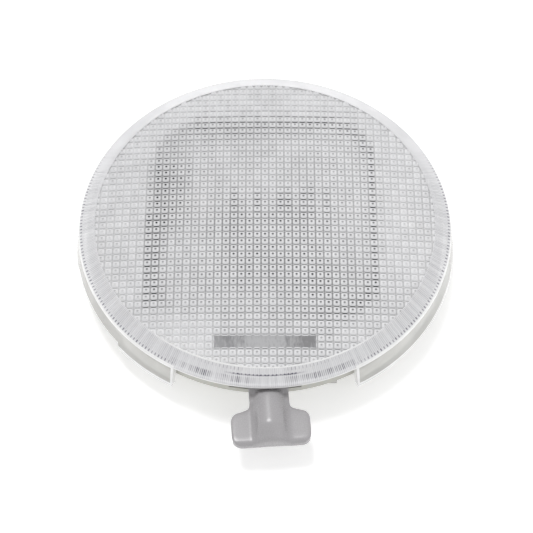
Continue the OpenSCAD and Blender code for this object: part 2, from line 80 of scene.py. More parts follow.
class Wire:
    """A shader value that adds its own Math nodes when it is used in an expression."""

    def __init__(self, tree: bpy.types.NodeTree, socket: bpy.types.NodeSocket) -> None:
        """Keeps the tree and the output socket that carries the value."""
        self.tree = tree
        self.socket = socket

    def math(self, operation: str, *others: "Wire | float", first: "Wire | float | None" = None) -> "Wire":
        """Adds one Math node.

        Args:
            operation: the Math node's operation.
            others: the operands after this value.
            first: an operand that goes before this value, for reflected operators.

        Returns:
            The node's result.
        """
        node = self.tree.nodes.new("ShaderNodeMath")
        node.operation = operation
        operands = [self, *others] if first is None else [first, self, *others]
        for index, operand in enumerate(operands):
            if isinstance(operand, Wire):
                self.tree.links.new(operand.socket, node.inputs[index])
            else:
                node.inputs[index].default_value = operand
        return Wire(self.tree, node.outputs[0])

    def __add__(self, other: "Wire | float") -> "Wire":
        """Sum."""
        return self.math("ADD", other)

    __radd__ = __add__

    def __sub__(self, other: "Wire | float") -> "Wire":
        """Difference."""
        return self.math("SUBTRACT", other)

    def __rsub__(self, other: "Wire | float") -> "Wire":
        """Difference, reflected."""
        return self.math("SUBTRACT", first=other)

    def __mul__(self, other: "Wire | float") -> "Wire":
        """Product."""
        return self.math("MULTIPLY", other)

    __rmul__ = __mul__

    def __truediv__(self, other: "Wire | float") -> "Wire":
        """Quotient."""
        return self.math("DIVIDE", other)

    def __gt__(self, other: "Wire | float") -> "Wire":
        """1 where this value is the greater, else 0."""
        return self.math("GREATER_THAN", other)

    def __lt__(self, other: "Wire | float") -> "Wire":
        """1 where this value is the smaller, else 0."""
        return self.math("LESS_THAN", other)

    def fraction(self) -> "Wire":
        """The part after the point."""
        return self.math("FRACT")

    def floor(self) -> "Wire":
        """The whole part."""
        return self.math("FLOOR")

    def size(self) -> "Wire":
        """The value without its sign."""
        return self.math("ABSOLUTE")


class Shader:
    """Builds one material, node by node, around a Principled shader."""

    def __init__(self, name: str) -> None:
        """Starts an empty material.

        Args:
            name: the material's name.
        """
        self.material = bpy.data.materials.new(name)
        self.material.use_nodes = True
        self.tree = self.material.node_tree
        self.tree.nodes.clear()
        self.output = self.tree.nodes.new("ShaderNodeOutputMaterial")
        self.principled = self.tree.nodes.new("ShaderNodeBsdfPrincipled")
        self.tree.links.new(self.principled.outputs[0], self.output.inputs["Surface"])

    def node(self, kind: str, settings: dict | None = None, inputs: dict | None = None) -> bpy.types.Node:
        """Adds any node.

        Args:
            kind: the node's type.
            settings: properties of the node, set before its inputs.
            inputs: values or wires by socket name or number.

        Returns:
            The new node.
        """
        node = self.tree.nodes.new(kind)
        for key, value in (settings or {}).items():
            setattr(node, key, value)
        for key, value in (inputs or {}).items():
            if isinstance(value, Wire):
                self.tree.links.new(value.socket, node.inputs[key])
            else:
                node.inputs[key].default_value = value
        return node

    def wire(self, node: bpy.types.Node, output: str | int = 0) -> Wire:
        """An output of a node as a value for expressions."""
        return Wire(self.tree, node.outputs[output])

    def place(self) -> Wire:
        """Object coordinates."""
        return self.wire(self.node("ShaderNodeTexCoord"), "Object")

    def axes(self) -> tuple[Wire, Wire, Wire]:
        """Object coordinates, apart."""
        parts = self.node("ShaderNodeSeparateXYZ", inputs={0: self.place()})
        return self.wire(parts, 0), self.wire(parts, 1), self.wire(parts, 2)

    def noise(self, scale: float, detail: float = 3.0, at: Wire | None = None) -> Wire:
        """Noise over the surface.

        Args:
            scale: bumps per metre.
            detail: octaves.
            at: the vector that it reads, or None for object coordinates.

        Returns:
            A value of about 0.5.
        """
        return self.wire(self.node(
            "ShaderNodeTexNoise", inputs={"Vector": at or self.place(), "Scale": scale, "Detail": detail}))

    def ramp(self, value: Wire, low: float, high: float, to_low: float = 0.0, to_high: float = 1.0) -> Wire:
        """Maps a range of values to another and clamps it."""
        return self.wire(self.node("ShaderNodeMapRange", {"clamp": True}, {
            "Value": value, "From Min": low, "From Max": high, "To Min": to_low, "To Max": to_high}))

    def blend(self, factor: Wire, low: Colour, high: Colour) -> Wire:
        """Mixes two colours by a factor."""
        mix = self.node("ShaderNodeMix", {"data_type": "RGBA"}, {
            0: factor, 6: (*low, 1.0), 7: (*high, 1.0)})
        return self.wire(mix, 2)

    def bump(self, height: Wire, depth: float, strength: float = 1.0) -> Wire:
        """A normal that follows a height.

        Args:
            height: the height, from 0 to 1.
            depth: the real depth in metres.
            strength: how much of it shows.

        Returns:
            The normal.
        """
        return self.wire(self.node("ShaderNodeBump", inputs={
            "Strength": strength, "Distance": depth, "Height": height}))

    def set(self, **values: "Wire | float | tuple") -> "Shader":
        """Sets the shader's sockets; an underscore in a name stands for a space."""
        for key, value in values.items():
            socket = self.principled.inputs[key.replace("_", " ")]
            if isinstance(value, Wire):
                self.tree.links.new(value.socket, socket)
            else:
                socket.default_value = (*value, 1.0) if isinstance(value, tuple) and len(value) == 3 else value
        return self


@dataclass(frozen=True)
class MouldedPlastic:
    """Opaque moulded plastic with a faint cloud of colour and a fine moulded skin."""

    name: str
    colour: Colour
    shade: float = 0.92
    roughness: float = 0.38
    cloud_scale: float = 90.0
    grain_scale: float = 4200.0
    grain_depth: float = 0.012 * MM

    def build(self) -> bpy.types.Material:
        """The finished material."""
        shader = Shader(self.name)
        cloud = shader.ramp(shader.noise(self.cloud_scale, 4.0), 0.35, 0.65)
        dark = tuple(c * self.shade for c in self.colour)
        grain = shader.noise(self.grain_scale, 2.0)
        shader.set(
            Base_Color=shader.blend(cloud, dark, self.colour),
            Roughness=shader.ramp(grain, 0.3, 0.7, self.roughness - 0.05, self.roughness + 0.06),
            Normal=shader.bump(grain, self.grain_depth, 0.5),
            Specular_IOR_Level=0.45,
        )
        return shader.material


@dataclass(frozen=True)
class SheetMetal:
    """Rolled or plated sheet with fine streaks."""

    name: str
    colour: Colour
    roughness: float = 0.28
    streak_scale: float = 2600.0

    def build(self) -> bpy.types.Material:
        """The finished material."""
        shader = Shader(self.name)
        x, y, z = shader.axes()
        stretched = shader.wire(shader.node("ShaderNodeCombineXYZ", inputs={0: x * 0.08, 1: y, 2: z}))
        streak = shader.noise(self.streak_scale, 3.0, stretched)
        dull = tuple(c * 0.8 for c in self.colour)
        shader.set(
            Base_Color=shader.blend(shader.ramp(streak, 0.35, 0.65), dull, self.colour),
            Metallic=1.0,
            Roughness=shader.ramp(streak, 0.3, 0.7, self.roughness - 0.06, self.roughness + 0.1),
            Normal=shader.bump(streak, 0.004 * MM, 0.4),
        )
        return shader.material


@dataclass(frozen=True)
class Enamel:
    """White stoved enamel with a slight orange-peel skin."""

    name: str
    colour: Colour

    def build(self) -> bpy.types.Material:
        """The finished material."""
        shader = Shader(self.name)
        peel = shader.noise(900.0, 2.0)
        warm = tuple(c * k for c, k in zip(self.colour, (0.96, 0.95, 0.92)))
        shader.set(
            Base_Color=shader.blend(shader.ramp(shader.noise(60.0), 0.35, 0.65), warm, self.colour),
            Roughness=0.3,
            Normal=shader.bump(peel, 0.01 * MM, 0.4),
            Coat_Weight=0.3,
        )
        return shader.material


@dataclass(frozen=True)
class ClearGlass:
    """Thin blown glass."""

    name: str

    def build(self) -> bpy.types.Material:
        """The finished material."""
        shader = Shader(self.name)
        haze = shader.ramp(shader.noise(300.0), 0.4, 0.6, 0.16, 0.24)
        shader.set(Base_Color=(0.9, 0.93, 0.95), Roughness=0.03, Alpha=haze, IOR=1.5)
        return shader.material


@dataclass(frozen=True)
class LensFinish:
    """The tone and cover of one plain zone of the lens."""

    colour: Colour
    dark: Colour
    alpha: float
    roughness: float = 0.08


@dataclass(frozen=True)
class PrismPlastic:
    """The face's clear plastic: each prism is bright, with a darker tip and darker joints round it;
    painted shade darkens them most over the edges of the well and the reflector behind it."""

    cell: float = 2.24 * MM
    well_middle: tuple[float, float] = (-0.6 * MM, 0.6 * MM)
    well_half: tuple[float, float] = (32.0 * MM, 33.8 * MM)
    well_corner: float = 14.0 * MM
    bright: Colour = (0.865, 0.865, 0.88)
    shaded: Colour = (0.52, 0.52, 0.53)
    deep: Colour = (0.01, 0.01, 0.012)
    alpha: float = 0.88

    def build(self, zone: LensZone) -> bpy.types.Material:
        """The finished material of one zone of the prisms.

        Args:
            zone: the zone that it is for.
        """
        shader = Shader("lens_" + zone.name.lower())
        x, y, _ = shader.axes()
        middle_x = (x / self.cell + 0.5).floor() * self.cell
        middle_y = (y / self.cell + 0.5).floor() * self.cell
        across = (x - middle_x) / self.cell
        along = (y - middle_y) / self.cell
        joint = self.joint(shader, across.size(), along.size())
        dot = shader.ramp((across * across + along * along).math("SQRT"), 0.09, 0.2, 1.0, 0.0)
        rows, columns, tips, shade = self.behind(shader, middle_x, middle_y)
        lies_across = along.size() > across.size()
        dash = shader.ramp(across.size(), 0.22, 0.38, 1.0, 0.55)
        lines = joint * (lies_across * rows * dash + (1.0 - lies_across) * columns)
        dark = lines.math("MAXIMUM", dot * tips)
        # The facets go from bright to the shaded colour by painted shade, mixed with random tone.
        light = shader.blend(shade, self.bright, self.shaded)
        mix = shader.node("ShaderNodeMix", {"data_type": "RGBA"}, {0: dark, 6: light, 7: (*self.deep, 1.0)})
        shader.set(
            Base_Color=shader.wire(mix, 2),
            Alpha=dark * 0.1 + self.alpha,
            Roughness=0.16,
            Specular_IOR_Level=0.08,
            IOR=1.49,
        )
        return shader.material

    @staticmethod
    def joint(shader: Shader, across: Wire, along: Wire) -> Wire:
        """1 in the joints between prisms, 0 on them, with round corners."""
        fourth = across * across * across * across + along * along * along * along
        return shader.ramp(fourth.math("POWER", 0.25), 0.36, 0.45)

    def behind(self, shader: Shader, x: Wire, y: Wire) -> tuple[Wire, Wire, Wire, Wire]:
        """How dark a prism's joints, tip and sides are painted, as painted shade for what lies behind it.

        Args:
            shader: the material being built.
            x: the prism's middle, to the right.
            y: the prism's middle, to the back.

        Returns:
            The darkness of the joints along x, of those along y, of the tip and of the sides.
        """
        beside = (x - self.well_middle[0]).size() - (self.well_half[0] - self.well_corner)
        behind = (y - self.well_middle[1]).size() - (self.well_half[1] - self.well_corner)
        out_x, out_y = beside.math("MAXIMUM", 0.0), behind.math("MAXIMUM", 0.0)
        inner = beside.math("MAXIMUM", behind).math("MINIMUM", 0.0)
        gap = (out_x * out_x + out_y * out_y).math("SQRT") + inner - self.well_corner
        edge = shader.ramp(gap.size(), 0.8 * MM, 2.6 * MM, 1.0, 0.0)
        inside = shader.ramp(gap, -2.0 * MM, 2.0 * MM, 1.0, 0.0)
        side = shader.ramp(x + y * 0.2, 8.0 * MM, 26.0 * MM, 0.25, 1.0)
        # Painted shade: soft patches where the prisms look at dark parts behind them: the well's walls and corner, the
        # reflector's trough, the front and the bulb, whose coil shows as dashes.
        trough = self.patch(shader, x, y, (-15.0, 20.0), (-27.0, 5.0), 13.0)
        bulb = self.patch(shader, x, y, (-11.0, 19.0), (0.0, 9.5), 1.2)
        # Painted shade in the well's back left corner.
        painted_corner_shade = shader.ramp(gap, -12.0 * MM, -3.0 * MM) * inside * shader.ramp(y - x, 12.0 * MM, 44.0 * MM)
        low_left = self.patch(shader, x, y, (-35.0, -29.5), (-31.0, 1.0), 2.4)
        left_wall = self.patch(shader, x, y, (-34.5, -22.0), (-4.0, 20.0), 3.0)
        rear_wall = self.patch(shader, x, y, (-22.0, 28.0), (29.5, 39.0), 5.0)
        front = self.patch(shader, x, y, (-15.0, 22.0), (-48.0, -33.0), 8.0)
        low_right = self.patch(shader, x, y, (10.0, 36.0), (-36.0, -19.0), 12.0)
        coil = ((x / (6.8 * MM)).fraction() > 0.45) * bulb
        drift = shader.ramp(shader.noise(70.0, 2.0), 0.35, 0.65)
        place = shader.wire(shader.node("ShaderNodeCombineXYZ", inputs={0: x / self.cell, 1: y / self.cell}))
        chance = shader.wire(shader.node("ShaderNodeTexWhiteNoise", {"noise_dimensions": "2D"}, {"Vector": place}))
        # Painted shade: the facets darken broadly towards the back left.
        painted_back_left_shade = shader.ramp(y - x, -30.0 * MM, 50.0 * MM)
        rear = shader.ramp(y - x * 0.5, 8.0 * MM, 42.0 * MM)
        patches = painted_corner_shade * 0.16 + left_wall * 0.16 + low_left * 0.22 + trough * 0.16 + front * 0.24 + low_right * 0.2
        rows = edge * side * 0.52 + rear_wall * 0.28 + low_left * 0.32 + patches * 0.9 + coil * 0.3 + inside * 0.1 + chance * 0.1 + 0.4
        columns = inside * 0.14 + patches * 0.6 + edge * 0.05 + trough * 0.1 + drift * 0.08 + (0.34 - rear * 0.14)
        tips = inside * 0.24 + edge * side * 0.3 + patches * 1.0 + trough * 0.14 + chance * 0.2 + left_wall * 0.14 + 0.23 - rear * 0.04
        shade = painted_corner_shade * 0.14 + drift * 0.08 + chance * 0.14 + painted_back_left_shade * 0.16
        return tuple(value.math("MINIMUM", 1.0) for value in (rows, columns, tips, shade))

    @staticmethod
    def patch(shader: Shader, x: Wire, y: Wire, in_x: tuple[float, float],
              in_y: tuple[float, float], soft: float) -> Wire:
        """A soft-edged patch of the face.

        Args:
            shader: the material being built.
            x: the place to the right.
            y: the place to the back.
            in_x: the patch's sides in millimetres.
            in_y: its front and back.
            soft: the width of its edges.

        Returns:
            1 in the patch, 0 well outside it.
        """
        share: Wire | None = None
        for value, (low, high) in ((x, in_x), (y, in_y)):
            off = (value - (low + high) / 2 * MM).size()
            part = shader.ramp(off, ((high - low) / 2 - soft / 2) * MM, ((high - low) / 2 + soft / 2) * MM, 1.0, 0.0)
            share = part if share is None else share * part
        return share


@dataclass(frozen=True)
class FlutedPlastic:
    """The sloping band: fine streaks across it, a row of dark dots towards the rim at the sides,
    strong dark dashes of painted shade at the front, where it looks at the switch, and a painted
    highlight along its inner edge at the front."""

    face_r: float = 49.5 * MM
    rim_r: float = 54.2 * MM
    flutes: int = 300
    bright: Colour = (0.89, 0.89, 0.905)
    dark: Colour = (0.07, 0.065, 0.1)
    # Colour of the painted highlight along the band's inner edge.
    white: Colour = (0.95, 0.95, 0.95)

    def build(self) -> bpy.types.Material:
        """The finished material."""
        shader = Shader("lens_flute")
        x, y, _ = shader.axes()
        turn = x.math("ARCTAN2", 0.0 - y) * (self.flutes / (2 * math.pi))
        radius = (x * x + y * y).math("SQRT")
        across = (radius - self.face_r) / (self.rim_r - self.face_r)
        angle = turn.size() * (360.0 / self.flutes)
        front = shader.ramp(angle, 26.0, 33.0, 1.0, 0.0)
        middle = shader.ramp(angle, 4.0, 22.0, 1.0, 0.25)
        back = shader.ramp(angle, 104.0, 122.0)
        stripe = (turn.fraction() - 0.5).size() * 2.0
        fine = ((turn * 2.0).fraction() - 0.5).size() * 2.0
        seed = shader.wire(shader.node("ShaderNodeCombineXYZ", inputs={0: (turn * 2.0).floor()}))
        chance = shader.wire(shader.node("ShaderNodeTexWhiteNoise", {"noise_dimensions": "2D"}, {"Vector": seed}))
        spot = shader.ramp(stripe, 0.45, 0.75)
        streak = shader.ramp(fine, 0.1, 0.9) * (chance * 0.8 + 0.2)
        near_face = self.row(shader, across, 0.16, 0.06) * shader.ramp(angle, 5.0, 9.0)
        dashes = self.row(shader, across, 0.42, 0.03) * shader.ramp(angle, 9.0, 13.0, 1.0, 0.0)
        near_rim = self.row(shader, across, 0.86, 0.055)
        belt = self.row(shader, across, 0.7, 0.12) * shader.ramp(angle, 2.0, 7.0, 0.3, 1.0)
        cloud = shader.ramp(shader.noise(160.0, 2.0), 0.4, 0.62)
        sides = streak * 0.44 * self.row(shader, across, 0.4, 0.34) + spot * near_rim * (chance * 0.3 + 0.42) + 0.06
        # Painted shade: dark dots near the face and dark dashes at the front, where the band looks at the switch.
        painted_switch_shade = spot * near_face * middle * 0.5 + dashes * (spot * 0.4 + 0.6)
        ahead = painted_switch_shade * (chance * 0.4 + 0.6) + streak * belt * (cloud * 0.7 + 0.3) + streak * 0.26 + 0.06
        behind = cloud * 0.08 + 0.14
        tone = (ahead * front + sides * (1.0 - front)) * (1.0 - back) + behind * back
        # Painted highlight: a white line along the inner edge of the band at the front.
        painted_glint = self.row(shader, across, 0.02, 0.035) * shader.ramp(angle, 28.0, 44.0, 1.0, 0.0)
        base = shader.blend(tone.math("MINIMUM", 1.0), self.bright, self.dark)
        mix = shader.node("ShaderNodeMix", {"data_type": "RGBA"}, {0: painted_glint, 6: base, 7: (*self.white, 1.0)})
        shader.set(
            Base_Color=shader.wire(mix, 2),
            Alpha=tone * 0.15 + 0.8,
            Roughness=0.12,
            IOR=1.49,
        )
        return shader.material

    @staticmethod
    def row(shader: Shader, across: Wire, at: float, half: float) -> Wire:
        """1 along a ring of the band, by its share of the way to the rim, and 0 off it."""
        return shader.ramp((across - at).size(), half, half * 1.6, 1.0, 0.0)


@dataclass(frozen=True)
class WindowPlastic:
    """The bare window: the grained plate behind it shows, darkest at the ends."""

    middle: Colour = (0.45, 0.45, 0.46)
    ends: Colour = (0.25, 0.25, 0.258)

    def build(self) -> bpy.types.Material:
        """The finished material."""
        shader = Shader("lens_window")
        x, y, _ = shader.axes()
        away = shader.ramp(x.size(), 5.5 * MM, 11.0 * MM)
        squeezed = shader.wire(shader.node("ShaderNodeCombineXYZ", inputs={0: x, 1: y * 0.35}))
        grain = shader.ramp(shader.noise(1500.0, 3.0, squeezed), 0.3, 0.7, -0.4, 0.4)
        mark = shader.ramp((x.size() - 6.2 * MM).size(), 0.4 * MM, 1.1 * MM, 0.45, 0.0)
        shader.set(
            Base_Color=shader.blend(away + grain + mark, self.middle, self.ends),
            Alpha=0.9,
            Roughness=0.1,
            Specular_IOR_Level=0.08,
            IOR=1.49,
        )
        return shader.material


def plain_zone(zone: LensZone, finish: LensFinish) -> bpy.types.Material:
    """A plain zone of the lens, with slight clouds in the plastic."""
    shader = Shader("lens_" + zone.name.lower())
    cloud = shader.ramp(shader.noise(120.0), 0.35, 0.65)
    shader.set(
        Base_Color=shader.blend(cloud, finish.dark, finish.colour),
        Alpha=cloud * 0.04 + finish.alpha,
        Roughness=finish.roughness,
        IOR=1.49,
    )
    return shader.material


def finish_lens() -> list[bpy.types.Material]:
    """The lens's materials in the order of its zones."""
    prisms = PrismPlastic()
    made = {zone: prisms.build(zone) for zone in (LensZone.FACET, LensZone.TIP, LensZone.GROOVE)}
    made[LensZone.FLUTE] = FlutedPlastic().build()
    made[LensZone.WINDOW] = WindowPlastic().build()
    plain = {
        # Painted highlight: the edges of the clear plastic painted near-white where they catch the light.
        LensZone.CREASE: LensFinish((0.92, 0.92, 0.92), (0.86, 0.86, 0.86), 0.93, 0.15),
        LensZone.CLEAR: LensFinish((0.62, 0.615, 0.59), (0.55, 0.545, 0.52), 0.7, 0.1),
        LensZone.INNER: LensFinish((0.8, 0.8, 0.78), (0.75, 0.75, 0.73), 0.3, 0.1),
    }
    made.update({zone: plain_zone(zone, finish) for zone, finish in plain.items()})
    return [made[zone] for zone in LensZone]


def make_object(name: str, mesh: bmesh.types.BMesh, body: Body) -> bpy.types.Object:
    """Turns a bmesh into an object that rides on a body.

    Args:
        name: the piece's name.
        mesh: its shape, in metres in the frame; it is freed.
        body: the body it rides on.

    Returns:
        The new object.
    """
    data = bpy.data.meshes.new(name)
    mesh.to_mesh(data)
    mesh.free()
    piece = bpy.data.objects.new(name, data)
    bpy.context.scene.collection.objects.link(piece)
    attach(piece, body.value)
    log.info("%s: %d faces on %s", name, len(data.polygons), body.value)
    return piece


def shade(piece: bpy.types.Object, angle: float = 30.0) -> None:
    """Smooth shading with creases kept sharp past an angle in degrees."""
    piece.data.shade_smooth()
    with bpy.context.temp_override(object=piece, active_object=piece, selected_editable_objects=[piece]):
        piece.data.set_sharp_from_angle(angle=math.radians(angle))


@dataclass
class PrismLens:
    """The clear cover: a plate of square prisms and a fluted ring with a notched skirt."""

    rim_r: float = 54.2 * MM
    rim_z: float = 16.8 * MM
    face_r: float = 49.5 * MM
    face_z: float = 19.4 * MM
    dome_h: float = 2.4 * MM
    wall: float = 2.0 * MM
    skirt_z: float = 7.4 * MM
    flare: float = 1.3 * MM
    seat_z: float = 15.8 * MM
    ledge_r: float = 49.2 * MM
    band_h: float = 0.8 * MM
    notch_angle: float = 28.0
    pry_start: float = 49.0
    pry_end: float = 80.0
    pry_h: float = 2.7 * MM
    cell: float = 2.24 * MM
    cells: int = 45
    groove: float = 0.5 * MM
    tip: float = 0.6 * MM
    prism_h: float = 0.45 * MM
    window_cells: tuple[int, int] = (13, 2)
    window_y: float = -18.5
    window_frame: float = 0.45 * MM
    clip_planes: int = 120
    flutes: int = 300
    flute_depth: float = 0.22 * MM
    fluted_to: float = 110.0
    ring_steps: int = 1200
    # The skirt's bands; the bright ones carry the painted highlight.
    skirt_bands: tuple[tuple[float, LensZone], ...] = (
        (0.4 * MM, LensZone.CREASE), (1.2 * MM, LensZone.CLEAR),
        (8.0 * MM, LensZone.CREASE), (9.3 * MM, LensZone.CREASE))
    notch_edge: float = 0.8
    materials: list[bpy.types.Material] = field(default_factory=list)

    def build(self) -> None:
        """Makes both pieces in place of the plain lens."""
        self.materials = finish_lens()
        for piece in (self.plate(), self.ring()):
            for material in self.materials:
                piece.data.materials.append(material)
            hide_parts("lens")

    def dome_drop(self, radius: float) -> float:
        """How far the domed face lies below its middle at a radius."""
        return self.dome_h * (radius / self.face_r) ** 2

    def in_window(self, face: bmesh.types.BMFace) -> bool:
        """Whether a cell lies in the bare window."""
        middle = face.calc_center_median()
        half_w = self.window_cells[0] * self.cell / 2
        half_l = self.window_cells[1] * self.cell / 2
        return abs(middle.x) < half_w and abs(middle.y - self.window_y * self.cell) < half_l

    def plate(self) -> bpy.types.Object:
        """The face: a grid of cells, each inset to a groove and raised to a blunt prism."""
        mesh = bmesh.new()
        bmesh.ops.create_grid(mesh, x_segments=self.cells, y_segments=self.cells, size=self.cells * self.cell / 2)
        bare = [f for f in mesh.faces if self.in_window(f)]
        region = bmesh.ops.dissolve_faces(mesh, faces=bare, use_verts=True)["region"]
        cells = [f for f in mesh.faces if f not in set(region)]
        reach = self.face_r + self.cell
        far = [f for f in cells if f.calc_center_median().length > reach]
        bmesh.ops.delete(mesh, geom=far, context="FACES")
        cells = [f for f in mesh.faces if f not in set(region)]
        self.mark(bmesh.ops.inset_individual(
            mesh, faces=cells, thickness=self.groove / 2, use_even_offset=True)["faces"], LensZone.GROOVE)
        slope = (self.cell - self.groove - self.tip) / 2
        self.mark(bmesh.ops.inset_individual(
            mesh, faces=cells, thickness=slope, depth=self.prism_h, use_even_offset=True)["faces"], LensZone.FACET)
        self.mark(cells, LensZone.TIP)
        self.mark(bmesh.ops.inset_individual(
            mesh, faces=region, thickness=self.window_frame, depth=0.1 * MM)["faces"], LensZone.GROOVE)
        self.mark(region, LensZone.WINDOW)
        for index in range(self.clip_planes):
            angle = 2 * math.pi * (index + 0.5) / self.clip_planes
            outward = Vector((math.cos(angle), math.sin(angle), 0.0))
            bmesh.ops.bisect_plane(
                mesh, geom=mesh.verts[:] + mesh.edges[:] + mesh.faces[:], dist=1e-7,
                plane_co=outward * self.face_r, plane_no=outward, clear_outer=True)
        self.close_below(mesh)
        for vert in mesh.verts:
            vert.co.z += self.face_z + self.dome_h - self.prism_h - self.dome_drop(vert.co.to_2d().length)
        return make_object("lens_prism_plate", mesh, Body.COVER)

    def close_below(self, mesh: bmesh.types.BMesh) -> None:
        """Gives the open grid its wall and a plain underside."""
        rim = [e for e in mesh.edges if e.is_boundary]
        wall = bmesh.ops.extrude_edge_only(mesh, edges=rim)["geom"]
        self.mark([g for g in wall if isinstance(g, bmesh.types.BMFace)], LensZone.INNER)
        low = [g for g in wall if isinstance(g, bmesh.types.BMVert)]
        bmesh.ops.translate(mesh, vec=(0.0, 0.0, -self.wall), verts=low)
        edges = [g for g in wall if isinstance(g, bmesh.types.BMEdge) and g.is_boundary]
        under = bmesh.ops.edgeloop_fill(mesh, edges=edges)["faces"]
        self.mark(under, LensZone.INNER)
        bmesh.ops.recalc_face_normals(mesh, faces=mesh.faces[:])

    @staticmethod
    def mark(faces: Iterable[bmesh.types.BMFace], zone: LensZone) -> None:
        """Gives faces a zone's material slot."""
        for face in faces:
            face.material_index = int(zone)

    def skirt_r(self, height: float) -> float:
        """Radius of the flared skirt's outside at a height."""
        return self.rim_r + self.flare * (self.rim_z - height) / (self.rim_z - self.skirt_z)

    def section(self) -> list[tuple[float, float, LensZone]]:
        """The ring's closed section.

        Returns:
            Radius, height and the zone of the face from each point to the next, going
            outwards over the band, down the skirt and back up inside.
        """
        points: list[tuple[float, float, LensZone]] = []
        crest = 0.2 * MM
        points.append((self.face_r - 0.15 * MM, self.face_z - 0.15 * MM, LensZone.FLUTE))
        points.append((self.face_r + 0.05 * MM, self.face_z, LensZone.FLUTE))
        band_rows = 8
        for row in range(band_rows + 1):
            share = row / band_rows
            radius = self.face_r + crest + (self.rim_r - crest - self.face_r - crest) * share
            height = self.face_z - (self.face_z - self.rim_z) * (radius - self.face_r) / (self.rim_r - self.face_r)
            points.append((radius, height, LensZone.FLUTE if row < band_rows else LensZone.CREASE))
        # The rim and the skirt's lower edge carry the painted highlight.
        points.append((self.rim_r, self.rim_z - 0.1 * MM, LensZone.CREASE))
        for drop, zone in self.skirt_bands:
            points.append((self.skirt_r(self.rim_z - drop), self.rim_z - drop, zone))
        points.append((self.rim_r + self.flare - 0.1 * MM, self.skirt_z, LensZone.CREASE))
        points.append((self.rim_r + self.flare - self.wall, self.skirt_z, LensZone.INNER))
        points.append((self.rim_r - self.wall, self.seat_z, LensZone.INNER))
        points.append((self.ledge_r, self.seat_z, LensZone.INNER))
        points.append((self.ledge_r, self.face_z - self.wall, LensZone.INNER))
        points.append((self.face_r - 0.15 * MM, self.face_z - self.wall, LensZone.INNER))
        return points

    def ring(self) -> bpy.types.Object:
        """The fluted band and the skirt, spun from one section and then notched."""
        mesh = bmesh.new()
        section = self.section()
        verts = [mesh.verts.new((0.0, -radius, height)) for radius, height, _ in section]
        edges = [mesh.edges.new((verts[i], verts[(i + 1) % len(verts)])) for i in range(len(verts))]
        bmesh.ops.spin(
            mesh, geom=verts + edges, cent=(0.0, 0.0, 0.0), axis=(0.0, 0.0, 1.0),
            angle=2 * math.pi, steps=self.ring_steps, use_merge=True, use_duplicate=False)
        bmesh.ops.remove_doubles(mesh, verts=mesh.verts[:], dist=1e-7)
        self.zone_ring(mesh, section)
        for vert in mesh.verts:
            self.flute(vert)
            self.notch(vert)
        bmesh.ops.remove_doubles(mesh, verts=mesh.verts[:], dist=1e-6)
        bmesh.ops.dissolve_degenerate(mesh, edges=mesh.edges[:], dist=1e-7)
        bmesh.ops.recalc_face_normals(mesh, faces=mesh.faces[:])
        return make_object("lens_fluted_ring", mesh, Body.COVER)

    def zone_ring(self, mesh: bmesh.types.BMesh, section: list[tuple[float, float, LensZone]]) -> None:
        """Gives each face of the spun ring the zone of its piece of the section."""
        middles: list[tuple[float, float, LensZone]] = []
        for index, (radius, height, zone) in enumerate(section):
            after = section[(index + 1) % len(section)]
            middles.append(((radius + after[0]) / 2, (height + after[1]) / 2, zone))
        for face in mesh.faces:
            middle = face.calc_center_median()
            radius = middle.to_2d().length
            near = min(middles, key=lambda m: (m[0] - radius) ** 2 + (m[1] - middle.z) ** 2)
            angle = abs(self.azimuth(middle))
            zone = near[2]
            # The notch's ends get a bright line of painted highlight.
            if self.notch_angle < angle < self.notch_angle + self.notch_edge and zone is LensZone.CLEAR:
                zone = LensZone.CREASE
            if angle < self.notch_angle and middle.z > self.rim_z - 0.3 * MM and zone is LensZone.CREASE:
                zone = LensZone.FLUTE
            face.material_index = int(zone)

    def flute(self, vert: bmesh.types.BMVert) -> None:
        """Sinks a point of the band into its flute."""
        radius = vert.co.to_2d().length
        low = self.face_r + 0.3 * MM
        high = self.rim_r - 0.3 * MM
        on_band = vert.co.z > self.rim_z and low < radius < high
        azimuth = self.azimuth(vert.co)
        if not on_band or abs(azimuth) > self.fluted_to:
            return
        share = (radius - low) / (high - low)
        ease = min(1.0, 6.0 * share, 6.0 * (1.0 - share))
        wave = 0.5 - 0.5 * math.cos(math.radians(azimuth) * self.flutes)
        vert.co.z -= self.flute_depth * wave * ease

    def notch(self, vert: bmesh.types.BMVert) -> None:
        """Lifts the skirt's lower edge at the lever's notch and at the prising recess."""
        azimuth = self.azimuth(vert.co)
        if abs(azimuth) < self.notch_angle:
            self.lift(vert, self.rim_z - self.band_h)
        elif -self.pry_end < azimuth < -self.pry_start:
            self.lift(vert, self.skirt_z + self.pry_h)

    def lift(self, vert: bmesh.types.BMVert, height: float) -> None:
        """Moves a point of the skirt up along its flare to a height, if it lies below."""
        if vert.co.z >= height:
            return
        radius = vert.co.to_2d().length
        outside = radius > self.skirt_r(vert.co.z) - self.wall / 2
        target = self.skirt_r(height) if outside else min(radius, self.skirt_r(height) - self.wall)
        vert.co.x *= target / radius
        vert.co.y *= target / radius
        vert.co.z = height

    @staticmethod
    def azimuth(point: Vector) -> float:
        """Angle round the lamp in degrees: 0 at the lever, positive to the right."""
        return math.degrees(math.atan2(point.x, -point.y))


